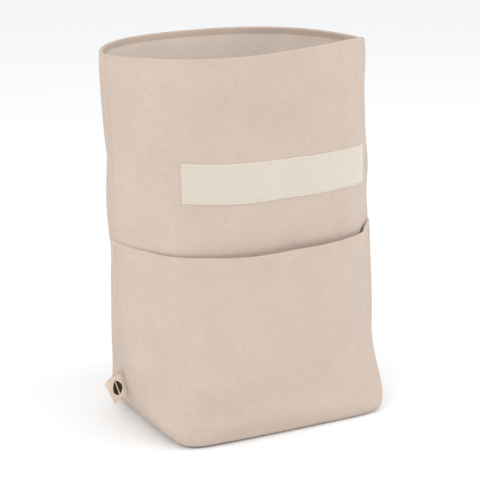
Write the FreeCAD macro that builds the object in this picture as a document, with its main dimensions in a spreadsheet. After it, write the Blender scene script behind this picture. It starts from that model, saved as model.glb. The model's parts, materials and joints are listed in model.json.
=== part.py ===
"""Soft fabric tote organizer: a boxed-corner canvas bag that stands open, with a front pocket.

Frame: millimetres, +Z up, origin on the floor under the middle of the base.  +X runs along the
wide side, -Y is the front (pocket) side.  Every layer of cloth is a loft between two curves of
one family: horizontal sections |x/a|^p + |y/b|^q = 1, a rectangle at the floor that turns into a
lens with a crease at each side seam and then into a wide oval at the rim.
"""
import FreeCAD
import Part
import Sketcher
import math
import os

doc = FreeCAD.newDocument("fabric_tote")

# ---------------------------------------------------------------- driving dimensions (mm, degrees)
CELLS = [
    ("base_width", 200, "floor rectangle along X"),
    ("base_depth", 150, "floor rectangle along Y"),
    ("panel_height", 336, "floor to rim"),
    ("mouth_width", 260, "seam to seam at the rim"),
    ("mouth_depth", 180, "front to back at the rim"),
    ("wall_lean", 2, "how far each side seam leans out from the flare to the rim"),
    ("flare_height", 25, "height over which the side seams swing out of the base"),
    ("belly", 5, "how far each panel bulges out just above the floor"),
    ("floor_radius", 6, "rounding of the bottom edge"),
    ("corner_power", 14, "section exponent at the floor: a rectangle with soft corners"),
    ("front_power", 3.6, "exponent of the front curve above the flare"),
    ("front_power_rim", 2.4, "exponent of the front curve at the rim"),
    ("seam_power", 1.7, "exponent towards the side seam: under 2 it is a crease"),
    ("front_fade", 18, "height over which the front loses its square corners"),
    ("seam_fade", 12, "height over which the side turns into a crease"),
    ("canvas", 0.9, "thickness of the canvas"),
    ("padding", 2.0, "thickness of the foam"),
    ("lining", 0.6, "thickness of the inner cloth"),
    ("rim_turn", 4, "how far the outer canvas turns down inside the rim"),
    ("pocket_height", 168, "floor to the pocket's edge"),
    ("pocket_gap", 6.5, "how far the pocket's edge stands off in the middle"),
    ("tape_width", 35, "height of both fastener tapes"),
    ("tape_length", 182, "straight-line length of the front tape"),
    ("tape_thickness", 1.4, "cloth and pile of a fastener tape"),
    ("tape_bottom", 213, "floor to the front tape's lower edge"),
    ("hook_from_rim", 6, "gap from the rim to the hook tape's upper edge"),
    ("hook_length", 182, "straight-line length of the back tape"),
    ("thread", 0.35, "how far a row of stitches stands proud"),
    ("thread_width", 0.7, "width of a row of stitches"),
    ("stitch_inset", 2.2, "row of stitches to the tape's edge"),
    ("pocket_stitch_drop", 13, "row of stitches to the pocket's edge"),
    ("board_thickness", 1.5, "base stiffener"),
    ("board_clearance", 2.5, "stiffener to the foam walls"),
    ("board_corner", 12, "stiffener corner radius"),
    ("label_height", 22, "side label along the seam"),
    ("label_reach", 20, "side label, seam to fold"),
    ("label_tape", 0.35, "one layer of label tape"),
    ("label_gap", 0.3, "space between the two layers of label tape"),
    ("label_seam_height", 40, "floor to the middle of the label's root"),
    ("label_droop", 14, "how far the label's outer end hangs, degrees"),
    ("label_clearance", 1.0, "label root to the cloth at the side seam"),
    ("ply_gap", 0.1, "air between two layers of cloth"),
    ("margin", 40, "how far trimming boxes reach past the cloth"),
]

sheet = doc.addObject("Spreadsheet::Sheet", "dimensions")
for row, (alias, value, note) in enumerate(CELLS, start=1):
    sheet.set("A%d" % row, alias)
    sheet.set("B%d" % row, str(value))
    sheet.set("C%d" % row, note)
    sheet.setAlias("B%d" % row, alias)
doc.recompute()


def cell(alias):
    """The value of a driving dimension."""
    return float(getattr(sheet, alias))


# ---------------------------------------------------------------- section formula
SECTION_STEPS = 56
DENSE_STEPS = 1400
OPENING_POWER = 2.0


def section_sizes(z):
    """Half width, half depth and the two exponents of the outer cloth's section at height z."""
    share = z / cell("panel_height")
    half_mid = cell("mouth_width") / 2 - cell("wall_lean") * (1 - share)
    half_width = half_mid - (half_mid - cell("base_width") / 2) * math.exp(-z / cell("flare_height"))
    swell = cell("belly") * (1 - math.exp(-z / cell("flare_height")))
    opening = (cell("mouth_depth") - cell("base_depth")) / 2 - cell("belly")
    half_depth = cell("base_depth") / 2 + swell + opening * share ** OPENING_POWER
    front_top = cell("front_power") + (cell("front_power_rim") - cell("front_power")) * share
    front = front_top + (cell("corner_power") - front_top) * math.exp(-z / cell("front_fade"))
    seam = cell("seam_power") + (cell("corner_power") - cell("seam_power")) * math.exp(-z / cell("seam_fade"))
    return half_width, half_depth, front, seam


def half_section(z, grow, front_gap, side):
    """Points from the left seam to the right seam at height z, evenly spaced along the cloth.

    grow moves the curve outwards everywhere, front_gap only towards the middle of the panel;
    side is -1 for the front half and +1 for the back half.
    """
    half_width, half_depth, front, seam = section_sizes(z)
    half_width += grow
    half_depth += grow + front_gap
    dense = []
    for k in range(DENSE_STEPS + 1):
        angle = math.pi * k / DENSE_STEPS
        c = math.cos(angle)
        x = -math.copysign(half_width * abs(c) ** (2 / front), c)
        y = side * half_depth * abs(math.sin(angle)) ** (2 / seam)
        dense.append((x, y if 0 < k < DENSE_STEPS else 0.0))
    run = [0.0]
    for (x0, y0), (x1, y1) in zip(dense, dense[1:]):
        run.append(run[-1] + math.hypot(x1 - x0, y1 - y0))
    points, k = [], 0
    for step in range(SECTION_STEPS + 1):
        target = run[-1] * step / SECTION_STEPS
        while k < DENSE_STEPS - 1 and run[k + 1] < target:
            k += 1
        share = (target - run[k]) / (run[k + 1] - run[k])
        (x0, y0), (x1, y1) = dense[k], dense[k + 1]
        points.append(FreeCAD.Vector(x0 + share * (x1 - x0), y0 + share * (y1 - y0), z))
    points[0].y = points[-1].y = 0.0
    return points


def cloth_edge(points):
    """A smooth edge through the points, with the same knots at every height."""
    curve = Part.BSplineCurve()
    curve.interpolate(Points=points, Parameters=[k / SECTION_STEPS for k in range(SECTION_STEPS + 1)])
    return curve.toShape()


ROUNDING_ANGLES = (25, 50, 72, 90)
STEP_GROWTH = 1.25
STEP_MOST = 30.0
STEP_LEAST = 0.5


def section_heights(low, high):
    """Heights of the sections between two levels: close together over the bottom edge, then wider."""
    radius, height = cell("floor_radius"), cell("panel_height")
    start = max(low, 0.0)
    levels = [start + (radius - start) * (1 - math.cos(math.radians(a))) for a in ROUNDING_ANGLES]
    level, step = radius, radius
    while level < height:
        level, step = level + step, min(step * STEP_GROWTH, STEP_MOST)
        levels.append(level)
    return [low] + [z for z in levels if low + STEP_LEAST < z < high - STEP_LEAST] + [high]


def rounded(grow, z):
    """How far outwards a layer stands at this height, drawn in over the rounded bottom edge."""
    radius = cell("floor_radius")
    if z >= radius:
        return grow
    return math.sqrt(max((radius + grow) ** 2 - (radius - z) ** 2, 0.0)) - radius


def joined(corners):
    """Straight edges through these points."""
    return [Part.LineSegment(p, q).toShape() for p, q in zip(corners, corners[1:])]


def loft_through(name, wires):
    """A closed smooth loft through section wires."""
    sections = []
    for index, edges in enumerate(wires):
        section = doc.addObject("Part::Feature", "%s_section_%02d" % (name, index))
        section.Shape = Part.Wire(edges)
        sections.append(section)
    loft = doc.addObject("Part::Loft", name)
    loft.Sections = sections
    loft.Solid = True
    loft.Ruled = False
    return loft


def pocket_stand_off(z):
    """How far the pocket cloth stands off the front panel at this height, in its middle."""
    return cell("pocket_gap") * (z / cell("pocket_height"))


def block(name, grow, low, high, side=0):
    """Everything inside one layer between two heights: half of it, or the whole oval (side 0)."""
    wires = []
    for z in section_heights(low, high):
        if side:
            points = half_section(z, rounded(grow, z), 0.0, side)
            wires.append([cloth_edge(points)] + joined([points[-1], points[0]]))
        else:
            wires.append([cloth_edge(half_section(z, rounded(grow, z), 0.0, half)) for half in (-1, 1)])
    return loft_through(name, wires)


def band(name, outside, inside, low, high, side, pocket=False):
    """The cloth of one half between two layers and two heights."""
    wires = []
    for z in section_heights(low, high):
        gap = pocket_stand_off(z) if pocket else 0.0
        outer = half_section(z, rounded(outside, z), gap, side)
        inner = half_section(z, rounded(inside, z), gap, side)
        inner.reverse()
        wires.append([cloth_edge(outer)] + joined([outer[-1], inner[0]])
                     + [cloth_edge(inner)] + joined([inner[-1], outer[0]]))
    return loft_through(name, wires)


# ---------------------------------------------------------------- trimming boxes and booleans
def bind(obj, prop, expression):
    """Ties a property to driving dimensions: names in the expression are sheet aliases."""
    for alias in sorted((c[0] for c in CELLS), key=len, reverse=True):
        expression = expression.replace("[%s]" % alias, "dimensions.%s" % alias)
    obj.setExpression(prop, expression)


def trim_box(name, x, y, z):
    """A box whose (low, high) limits along each axis are expressions in sheet aliases."""
    box = doc.addObject("Part::Box", name)
    for prop, place, (low, high) in (("Length", "x", x), ("Width", "y", y), ("Height", "z", z)):
        bind(box, prop, "(%s) - (%s)" % (high, low))
        bind(box, "Placement.Base.%s" % place, low)
    return box


def boolean(kind, name, base, tool):
    """base cut by, fused with or kept inside tool."""
    result = doc.addObject("Part::" + kind, name)
    result.Base = base
    result.Tool = tool
    return result


def fused(name, pieces):
    """Several touching solids made one."""
    obj = doc.addObject("Part::MultiFuse", name)
    obj.Shapes = pieces
    obj.Refine = False
    return obj


def frame_box(name, x, y, z, width):
    """A rectangular ring seen from the front: the outline of a box, as wide as the given expression."""
    inner_x = ("(%s) + %s" % (x[0], width), "(%s) - %s" % (x[1], width))
    inner_z = ("(%s) + %s" % (z[0], width), "(%s) - %s" % (z[1], width))
    past_y = ("(%s) - 1" % y[0], "(%s) + 1" % y[1])
    outside = trim_box(name + "_outside", x, y, z)
    return boolean("Cut", name, outside, trim_box(name + "_inside", inner_x, past_y, inner_z))


PLY_GAP = cell("ply_gap")
CANVAS_IN = -cell("canvas")
FOAM_IN = CANVAS_IN - cell("padding")
LINING_IN = FOAM_IN - cell("lining")
RIM = cell("panel_height")
TURN_END = RIM - cell("rim_turn")
TRAY_TOP = cell("floor_radius") + cell("padding")
FOAM_FLOOR = cell("canvas") + cell("padding")
BOARD_TOP = FOAM_FLOOR + cell("board_thickness")
LINING_FLOOR = BOARD_TOP + cell("lining")
PAST = 1.0
SIDES = (("front", -1), ("back", 1))

SUB_PARTS = []


def sub_part(obj, label):
    """Names a finished piece: the label is its file's name."""
    obj.Label = label
    SUB_PARTS.append(obj)
    return obj


# ---------------------------------------------------------------- outer canvas
def canvas_panel(side, way):
    """Outer cloth of one half: half the base, the wall, and the thick edge turned over the rim."""
    base = block(side + "_base", 0.0, 0.0, -CANVAS_IN, way)
    wall = band(side + "_wall", 0.0, CANVAS_IN, -CANVAS_IN, TURN_END, way)
    rim = band(side + "_rim", 0.0, LINING_IN, TURN_END, RIM, way)
    return sub_part(fused(side + "_canvas", [base, wall, rim]), side + "_panel")


# ---------------------------------------------------------------- padding, stiffener and lining
def padding_wall(side, way):
    """Foam sheet behind one canvas wall, from the base tray up to the turned rim."""
    foam = band(side + "_foam", CANVAS_IN - PLY_GAP, FOAM_IN, TRAY_TOP, TURN_END - PLY_GAP, way)
    return sub_part(foam, side + "_padding")


def base_padding():
    """Foam tray over the whole floor of the bag."""
    tray = block("tray", CANVAS_IN - PLY_GAP, PLY_GAP - CANVAS_IN, TRAY_TOP - PLY_GAP)
    room = block("tray_room", FOAM_IN, FOAM_FLOOR, TRAY_TOP + PAST)
    return sub_part(boolean("Cut", "base_foam", tray, room), "base_padding")


def lining_half(side, way):
    """Inner cloth of one half: it covers the stiffener and reaches the turned rim."""
    base = block(side + "_inner_base", FOAM_IN - PLY_GAP, BOARD_TOP + PLY_GAP, LINING_FLOOR, way)
    wall = band(side + "_inner_wall", FOAM_IN - PLY_GAP, LINING_IN, LINING_FLOOR,
                TURN_END - PLY_GAP, way)
    return sub_part(fused(side + "_inner_cloth", [base, wall]), side + "_lining")


for side_name, side_way in SIDES:
    canvas_panel(side_name, side_way)
    padding_wall(side_name, side_way)
    lining_half(side_name, side_way)
base_padding()


UPRIGHT = 0.9


def base_board():
    """Stiffener under the lining: a plate with rounded corners."""
    body = doc.addObject("PartDesign::Body", "stiffener")
    sketch = body.newObject("Sketcher::SketchObject", "stiffener_outline")
    plane = [f for f in body.Origin.OriginFeatures if f.Role == "XY_Plane"][0]
    sketch.AttachmentSupport = (plane, [""])
    sketch.MapMode = "FlatFace"
    half_x, half_y = cell("base_width") / 2, cell("base_depth") / 2
    corners = [FreeCAD.Vector(-half_x, -half_y, 0), FreeCAD.Vector(half_x, -half_y, 0),
               FreeCAD.Vector(half_x, half_y, 0), FreeCAD.Vector(-half_x, half_y, 0)]
    for k in range(4):
        sketch.addGeometry(Part.LineSegment(corners[k], corners[(k + 1) % 4]), False)
    start, end, axis = 1, 2, -1
    for k in range(4):
        sketch.addConstraint(Sketcher.Constraint("Coincident", k, end, (k + 1) % 4, start))
    for k in (0, 2):
        sketch.addConstraint(Sketcher.Constraint("Horizontal", k))
    for k in (1, 3):
        sketch.addConstraint(Sketcher.Constraint("Vertical", k))
    sketch.addConstraint(Sketcher.Constraint("Symmetric", 0, start, 2, start, axis, start))
    inset = "2 * ([floor_radius] + [board_clearance])"
    for name, edge, way, size in (("board_width", 0, "DistanceX", "[base_width]"),
                                  ("board_depth", 1, "DistanceY", "[base_depth]")):
        index = sketch.addConstraint(Sketcher.Constraint(way, edge, start, edge, end, 2 * half_y))
        sketch.renameConstraint(index, name)
        bind(sketch, "Constraints." + name, size + " - " + inset)
    doc.recompute()
    pad = body.newObject("PartDesign::Pad", "stiffener_plate")
    pad.Profile = sketch
    bind(pad, "Length", "[board_thickness]")
    doc.recompute()
    upright = ["Edge%d" % (n + 1) for n, e in enumerate(pad.Shape.Edges)
               if abs(e.tangentAt(e.FirstParameter).z) > UPRIGHT]
    rounding = body.newObject("PartDesign::Fillet", "stiffener_corners")
    rounding.Base = (pad, upright)
    bind(rounding, "Radius", "[board_corner]")
    bind(body, "Placement.Base.z", "[canvas] + [padding]")
    return sub_part(body, "base_board")


base_board()


# ---------------------------------------------------------------- front pocket
def front_pocket():
    """Pocket cloth caught in both side seams and at the bottom edge, standing off in the middle."""
    cloth = band("pocket", cell("canvas"), PLY_GAP, 0.0, cell("pocket_height"), -1, True)
    return sub_part(cloth, "front_pocket")


def pocket_stitching():
    """Row of stitches that holds the turned hem along the pocket's edge."""
    low = cell("pocket_height") - cell("pocket_stitch_drop")
    row = band("pocket_row", cell("canvas") + cell("thread"), cell("canvas") + PLY_GAP, low,
               low + cell("thread_width"), -1, True)
    return sub_part(row, "pocket_hem_stitching")


front_pocket()
pocket_stitching()


# ---------------------------------------------------------------- fastener tapes
def fastener_tape(name, labels, way, length, bottom):
    """A tape sewn flat on the canvas, and the row of stitches round its edge."""
    tape, row = cell("tape_thickness"), cell("tape_thickness") + cell("thread")
    top = bottom + cell("tape_width")
    far = "[mouth_depth] / 2 + [margin]"
    across = ("-%s / 2" % length, "%s / 2" % length)
    depth = ("-(%s)" % far, "0") if way < 0 else ("0", far)
    skin = band(name + "_skin", tape, PLY_GAP, bottom, top, way)
    box = trim_box(name + "_box", across, depth, ("0", "[panel_height]"))
    sub_part(boolean("Common", name, skin, box), labels[0])
    thread = band(name + "_row_skin", row, tape + PLY_GAP, bottom, top, way)
    row_x = ("(%s) + [stitch_inset]" % across[0], "(%s) - [stitch_inset]" % across[1])
    row_z = ("%f + [stitch_inset]" % bottom, "%f - [stitch_inset]" % top)
    frame = frame_box(name + "_row", row_x, depth, row_z, "[thread_width]")
    sub_part(boolean("Common", name + "_thread", thread, frame), labels[1])


fastener_tape("loop_tape", ("front_loop_tape", "front_tape_stitching"), -1, "[tape_length]",
              cell("tape_bottom"))
fastener_tape("hook_tape", ("back_hook_tape", "back_tape_stitching"), 1, "[hook_length]",
              RIM - cell("hook_from_rim") - cell("tape_width"))


# ---------------------------------------------------------------- side label
def side_label():
    """A folded tape: two layers from the seam to a round fold, hung square to the seam."""
    outside_radius = "([label_tape] + [label_gap] / 2)"
    solids = []
    for name, radius in (("label_outside", outside_radius), ("label_hollow", "([label_gap] / 2)")):
        flat = trim_box(name + "_flat", ("-([label_reach] - %s)" % outside_radius, "0"),
                        ("-" + radius, radius), ("-[label_height] / 2", "[label_height] / 2"))
        fold = doc.addObject("Part::Cylinder", name + "_fold")
        bind(fold, "Radius", radius)
        bind(fold, "Height", "[label_height]")
        bind(fold, "Placement.Base.x", "-([label_reach] - %s)" % outside_radius)
        bind(fold, "Placement.Base.z", "-[label_height] / 2")
        solids.append(boolean("Fuse", name, flat, fold))
    label = boolean("Cut", "label", solids[0], solids[1])
    half_width = section_sizes(cell("label_seam_height"))[0] + cell("canvas")
    droop = FreeCAD.Rotation(FreeCAD.Vector(0, 1, 0), -cell("label_droop"))
    root = FreeCAD.Vector(-half_width, 0, cell("label_seam_height"))
    outward = droop.multVec(FreeCAD.Vector(-1, 0, 0))
    label.Placement = FreeCAD.Placement(root + outward * cell("label_clearance"), droop)
    return sub_part(label, "side_label")


side_label()


# ---------------------------------------------------------------- checks and files
doc.recompute()
failed = [o.Name for o in doc.Objects if "Invalid" in o.State or "Error" in o.State]
if failed:
    raise SystemExit("these objects failed to recompute: " + ", ".join(failed))
for piece in SUB_PARTS:
    if piece.Shape.isNull() or not piece.Shape.isValid() or not piece.Shape.Solids:
        raise SystemExit(piece.Label + " has no valid solid")

os.makedirs("parts", exist_ok=True)
for piece in SUB_PARTS:
    piece.Shape.exportStep("parts/%s.step" % piece.Label)
    print("%-24s solids %d  volume %10.1f  %s" % (piece.Label, len(piece.Shape.Solids),
                                                 piece.Shape.Volume, piece.Shape.BoundBox))
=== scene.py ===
# %% [markdown]
# # A padded canvas tote
# The bag is a soft shell of four layers: outer canvas, foam, a stiff base plate and an inner cloth.
# It has a wide front pocket, a loop tape sewn on the front, a hook tape on the back and a folded
# label caught in the left side seam.  The CAD frame gives the sizes and the places.  This lesson
# gives the cloth its looks: every layer is a surface worked out with numpy on one shared grid.

# %% Open the frame
import json
import math

import bpy
import numpy as np
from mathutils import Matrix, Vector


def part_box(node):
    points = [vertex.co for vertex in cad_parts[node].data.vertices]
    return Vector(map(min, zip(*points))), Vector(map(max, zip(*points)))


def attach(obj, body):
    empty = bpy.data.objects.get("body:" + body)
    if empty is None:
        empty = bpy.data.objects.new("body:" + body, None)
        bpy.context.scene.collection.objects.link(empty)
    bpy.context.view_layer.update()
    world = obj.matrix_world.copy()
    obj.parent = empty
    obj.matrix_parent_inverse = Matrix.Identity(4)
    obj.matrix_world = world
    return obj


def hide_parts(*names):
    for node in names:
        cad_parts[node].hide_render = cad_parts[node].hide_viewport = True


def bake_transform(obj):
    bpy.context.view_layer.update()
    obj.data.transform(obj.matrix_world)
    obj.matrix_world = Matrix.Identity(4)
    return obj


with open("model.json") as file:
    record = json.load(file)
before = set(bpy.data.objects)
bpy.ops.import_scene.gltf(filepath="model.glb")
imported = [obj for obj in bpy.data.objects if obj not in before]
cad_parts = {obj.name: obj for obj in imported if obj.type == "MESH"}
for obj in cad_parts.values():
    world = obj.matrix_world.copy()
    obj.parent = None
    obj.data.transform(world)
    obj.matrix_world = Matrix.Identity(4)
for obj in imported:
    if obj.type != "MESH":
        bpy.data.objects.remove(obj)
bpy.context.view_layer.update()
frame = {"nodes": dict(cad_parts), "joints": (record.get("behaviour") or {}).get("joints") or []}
MM = 0.001

# %% [markdown]
# The main sizes are read from the frame, so the cloth lands where the CAD solids are.  The base
# rectangle is the stiff plate plus the room that the rounded bottom edge and the foam need.  The
# three widths are how wide each cloth is from seam to seam when it lies flat.

# %% Main sizes
RIM_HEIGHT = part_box("front_panel")[1].z
MOUTH_HALF_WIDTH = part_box("front_panel")[1].x
MOUTH_HALF_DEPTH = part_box("back_panel")[1].y
POCKET_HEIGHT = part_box("front_pocket")[1].z
FLOOR_RADIUS = 6 * MM
PLATE_ROOM = FLOOR_RADIUS + 2.5 * MM
BASE_HALF_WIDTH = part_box("base_board")[1].x + PLATE_ROOM
BASE_HALF_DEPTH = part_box("base_board")[1].y + PLATE_ROOM
CANVAS = 0.9 * MM
WALL = 3.5 * MM
RIM_TURN = 4.5 * MM
PANEL_WIDTH = 0.345
print("base", BASE_HALF_WIDTH, BASE_HALF_DEPTH)
print("rim", RIM_HEIGHT, MOUTH_HALF_WIDTH, MOUTH_HALF_DEPTH)

# %% [markdown]
# ## The shape of the cloth
# A boxed bag is a rectangle at the floor.  A little higher its side seams have swung out and each
# panel is one smooth curve, so the section is a lens with a crease at both seams.  At the rim it is
# a wide oval.  One family of curves covers all three: |x/a|^p + |y/b|^q = 1, where a, b, p and q
# change with the height.  A loft of drawn curves would also work, but a formula keeps every layer
# on the same grid, so the layers never cut through each other.

# %% Section sizes at each height
FLARE = 25 * MM
BELLY = 5 * MM
WALL_LEAN = 2 * MM
CORNER_POWER = 14.0


def fade(z, reach):
    """1 at the floor, falling to 0 as exp(-z / reach)."""
    return np.exp(-z / reach)


def section_sizes(z):
    """Half width a, half depth b and exponents p, q of the outer cloth's section at height z."""
    share = z / RIM_HEIGHT
    middle = MOUTH_HALF_WIDTH - WALL_LEAN * (1 - share)
    a = middle - (middle - BASE_HALF_WIDTH) * fade(z, FLARE)
    opening = MOUTH_HALF_DEPTH - BASE_HALF_DEPTH - BELLY
    b = BASE_HALF_DEPTH + BELLY * (1 - fade(z, FLARE)) + opening * share ** 2
    front = 3.6 - 1.2 * share
    p = front + (CORNER_POWER - front) * fade(z, 18 * MM)
    crease = 1.75 - 0.40 * share ** 1.5
    q = crease + (CORNER_POWER - crease) * fade(z, 12 * MM)
    return a, b, p, q


SEAM_SHARE = 0.03
column_share = np.concatenate([np.linspace(0, SEAM_SHARE, 16)[:-1],
                               np.linspace(SEAM_SHARE, 1 - SEAM_SHARE, 171),
                               np.linspace(1 - SEAM_SHARE, 1, 16)[1:]])
COLUMNS = len(column_share)
DENSE = np.linspace(0, np.pi, 3001)


def section_points(z, grow):
    """x and y >= 0 of each section from the left seam to the right one, at the columns' shares.

    The curve is walked finely by the angle t, x = -a |cos t|^(2/p), y = b |sin t|^(2/q), its
    running length is added up, and the wanted lengths are read back from it.
    """
    a, b, p, q = [s[:, None] for s in section_sizes(z)]
    a, b = a + grow[:, None], b + grow[:, None]
    c, s = np.cos(DENSE)[None, :], np.abs(np.sin(DENSE))[None, :]
    x = -a * np.sign(c) * np.abs(c) ** (2 / p)
    y = b * s ** (2 / q)
    y[:, [0, -1]] = 0.0
    steps = np.hypot(np.diff(x, axis=1), np.diff(y, axis=1))
    run = np.concatenate([np.zeros((len(z), 1)), np.cumsum(steps, axis=1)], axis=1)
    found = [[np.interp(column_share * r[-1], r, values[row]) for row, r in enumerate(run)]
             for values in (x, y)]
    return np.array(found[0]), np.array(found[1]), run[:, -1]


# %% [markdown]
# The rows of the grid run from the middle of the base, out to the bottom edge, round it and up the
# wall.  Rows on the base have a negative height, which is how far they are from the bottom edge.

# %% Rows of the grid
BASE_SHARES = np.array([0, 0.2, 0.4, 0.6, 0.75, 0.87, 0.95])
ROUND_ANGLES = np.radians([0, 15, 30, 45, 60, 75])
WALL_ROWS = 181
row_height = np.concatenate([
    (BASE_SHARES - 1) * (BASE_HALF_DEPTH - FLOOR_RADIUS),
    FLOOR_RADIUS * (1 - np.cos(ROUND_ANGLES)),
    np.linspace(FLOOR_RADIUS, RIM_HEIGHT, WALL_ROWS)])
row_z = np.maximum(row_height, 0)
row_share = np.concatenate([BASE_SHARES, np.ones(len(ROUND_ANGLES) + WALL_ROWS)])
row_grow = np.where(row_z < FLOOR_RADIUS, np.sqrt(np.maximum(
    FLOOR_RADIUS ** 2 - (FLOOR_RADIUS - row_z) ** 2, 0)) - FLOOR_RADIUS, 0)
print("grid", len(row_z), "rows,", COLUMNS, "columns")

# %% [markdown]
# A standing bag is never the plain formula.  This one leans back, is fuller at one end of each
# panel than at the other, and its seams pull the rim down at both ends.  The foam pushes the foot
# of the front forward.  Each of these is one named amount, so a different bag is a few numbers away.

# %% How the bag stands
LEAN = 11.8 * MM
LEAN_POWER = 1.6
RIM_SHIFT = -3.2 * MM
FULLER_RIM = {-1: 0.31, 1: 0.27}
FULLER_BELOW = {-1: 0.42, 1: -0.10}
RIM_DIP = 4.2 * MM
RIM_RISE = {-1: 1.4 * MM, 1: 1.2 * MM}
RIM_TILT = {-1: 2.6 * MM, 1: 2.4 * MM}
BACK_FULL = 0.02
FOOT_BULGE = 6.3 * MM


def bump(u, z, u0, z0, wide, high, turn=0.0):
    """A round hill: exp(-(distance / size)^2) about (u0, z0), in metres, turned by an angle."""
    along, up = (u - u0) * PANEL_WIDTH, z - z0
    c, s = math.cos(turn), math.sin(turn)
    return np.exp(-((c * along + s * up) / wide) ** 2 - ((-s * along + c * up) / high) ** 2)


def stand(x, y, z, u, side):
    """Moves the points of one half from the plain formula to the standing bag.

    y grows by (1 - 2u) times the fullness, x and y drift with the height for the lean, and the rim
    rises in its middle and tilts along its length.
    """
    share = z / RIM_HEIGHT
    upper, low = share ** 3, np.clip(z / (60 * MM), 0, 1)
    fuller = FULLER_RIM[side] * upper + FULLER_BELOW[side] * low * (1 - upper)
    y = y * (1 + (1 - 2 * u) * fuller + (BACK_FULL * upper if side > 0 else 0))
    if side < 0:
        foot = np.sin(np.pi * u) ** 0.8 * np.exp(-z / (70 * MM))
        y = y + FOOT_BULGE * foot * np.clip(y / BASE_HALF_DEPTH, 0, 1) ** 2
    y = y * side + LEAN * share ** LEAN_POWER
    x = x + RIM_SHIFT * share
    ends = np.abs(2 * u - 1) ** 3
    z = z + share ** 4 * (-RIM_DIP * ends + RIM_RISE[side] * (1 - ends)
                          + RIM_TILT[side] * np.sin(2 * np.pi * (u - 0.5)))
    return x, y, z


# %% [markdown]
# Shallow dents and soft folds, pushed along the cloth's own normals, give the light something to
# play on: a slack fold under the rim, one running down to the tape, and pillowing of the foam.

# %% Dents and folds
FRONT_DENTS = [
    (-4.2, 0.46, 0.270, 80, 20, 0.0), (1.8, 0.40, 0.304, 70, 13, 0.0),
    (-2.4, 0.17, 0.215, 18, 28, 0.9), (1.6, 0.10, 0.180, 16, 46, 0.0),
    (-2.2, 0.84, 0.288, 30, 12, 0.25), (1.6, 0.88, 0.245, 20, 30, 0.0),
    (1.4, 0.35, 0.100, 60, 46, 0.3), (-1.6, 0.72, 0.060, 44, 34, -0.4),
    (-1.0, 0.14, 0.075, 22, 30, 0.6)]
BACK_DENTS = [
    (-1.8, 0.30, 0.240, 46, 20, 0.2), (-1.6, 0.72, 0.200, 34, 40, -0.3),
    (1.2, 0.50, 0.130, 60, 50, 0.0), (-1.2, 0.15, 0.110, 26, 40, 0.4),
    (-1.2, 0.86, 0.300, 26, 18, 0.1)]


def dents(u, z, side):
    """Sum of shallow hills and hollows, in metres along the normal, fading out on the base."""
    total = np.zeros_like(z)
    for deep, u0, z0, wide, high, turn in (FRONT_DENTS if side < 0 else BACK_DENTS):
        total += deep * MM * bump(u, z, u0, z0, wide * MM, high * MM, turn)
    return total * np.clip(z / (20 * MM), 0, 1)


# %% [markdown]
# At a side seam the two panels are sewn edge to edge and turned, so the allowances make a narrow
# hard ridge.  Beside it the stitches pull the padded cloth in, and small puckers run out from them.

# %% Side seam relief
SEAM_RIDGE = 0.9 * MM
SEAM_DITCH = 1.5 * MM
PUCKER = 0.45 * MM
PUCKER_PITCH = 8.5 * MM
RIDGE_SIZE = 1.3 * MM
DITCH_PLACE = 3 * MM
DITCH_SIZE = 1.6 * MM
PUCKER_REACH = 7 * MM


def seam_relief(u, z, length):
    """Ridge exp(-(d / 1.3)^2), ditch exp(-((d - 3) / 1.6)^2) and puckers, d in mm from the seam."""
    away = np.minimum(u, 1 - u) * length
    wave = np.sin(2 * np.pi * z / PUCKER_PITCH + 2.2 * np.sin(z / (19 * MM)))
    ridge = SEAM_RIDGE * (1 + 0.3 * wave) * np.exp(-(away / RIDGE_SIZE) ** 2)
    ditch = SEAM_DITCH * np.exp(-((away - DITCH_PLACE) / DITCH_SIZE) ** 2)
    pucker = PUCKER * wave * np.exp(-away / PUCKER_REACH) * (1 - np.exp(-away / (2 * MM)))
    return (ridge - ditch + pucker) * np.clip(z / (10 * MM), 0, 1)


# %% [markdown]
# ## Letting the cloth settle
# Padded canvas that is held along its seams, rim and base buckles softly in between.  A formula
# can't give that, so each wall is dropped into a short cloth simulation: a coarse copy, pinned all
# round, a little larger than its frame, under its own weight and a breath of air from inside.  The
# broad part of the movement is taken away, so the bag keeps its size, and the folds are kept, capped
# and smoothed.  Every layer of the bag then follows them.

# %% Cloth simulation of one wall
SIM_FRAMES = 24
SIM_ROW_STEP = 3
SIM_COLUMN_STEP = 4
SIM_CAP = 3.0 * MM
FINE_STEPS = 0.75
WIDE_STEPS = 6.0
EDGE_FADE = 12 * MM
START_NOISE = 0.25 * MM


def plain_mesh(name, points):
    """A mesh object with one quad per grid cell."""
    rows, columns = points.shape[:2]
    corner = np.arange(rows * columns).reshape(rows, columns)
    quads = np.stack([corner[:-1, :-1], corner[:-1, 1:], corner[1:, 1:], corner[1:, :-1]], axis=2)
    mesh = bpy.data.meshes.new(name)
    mesh.from_pydata(points.reshape(-1, 3).tolist(), [], quads.reshape(-1, 4).tolist())
    piece = bpy.data.objects.new(name, mesh)
    bpy.context.scene.collection.objects.link(piece)
    return piece


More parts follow.
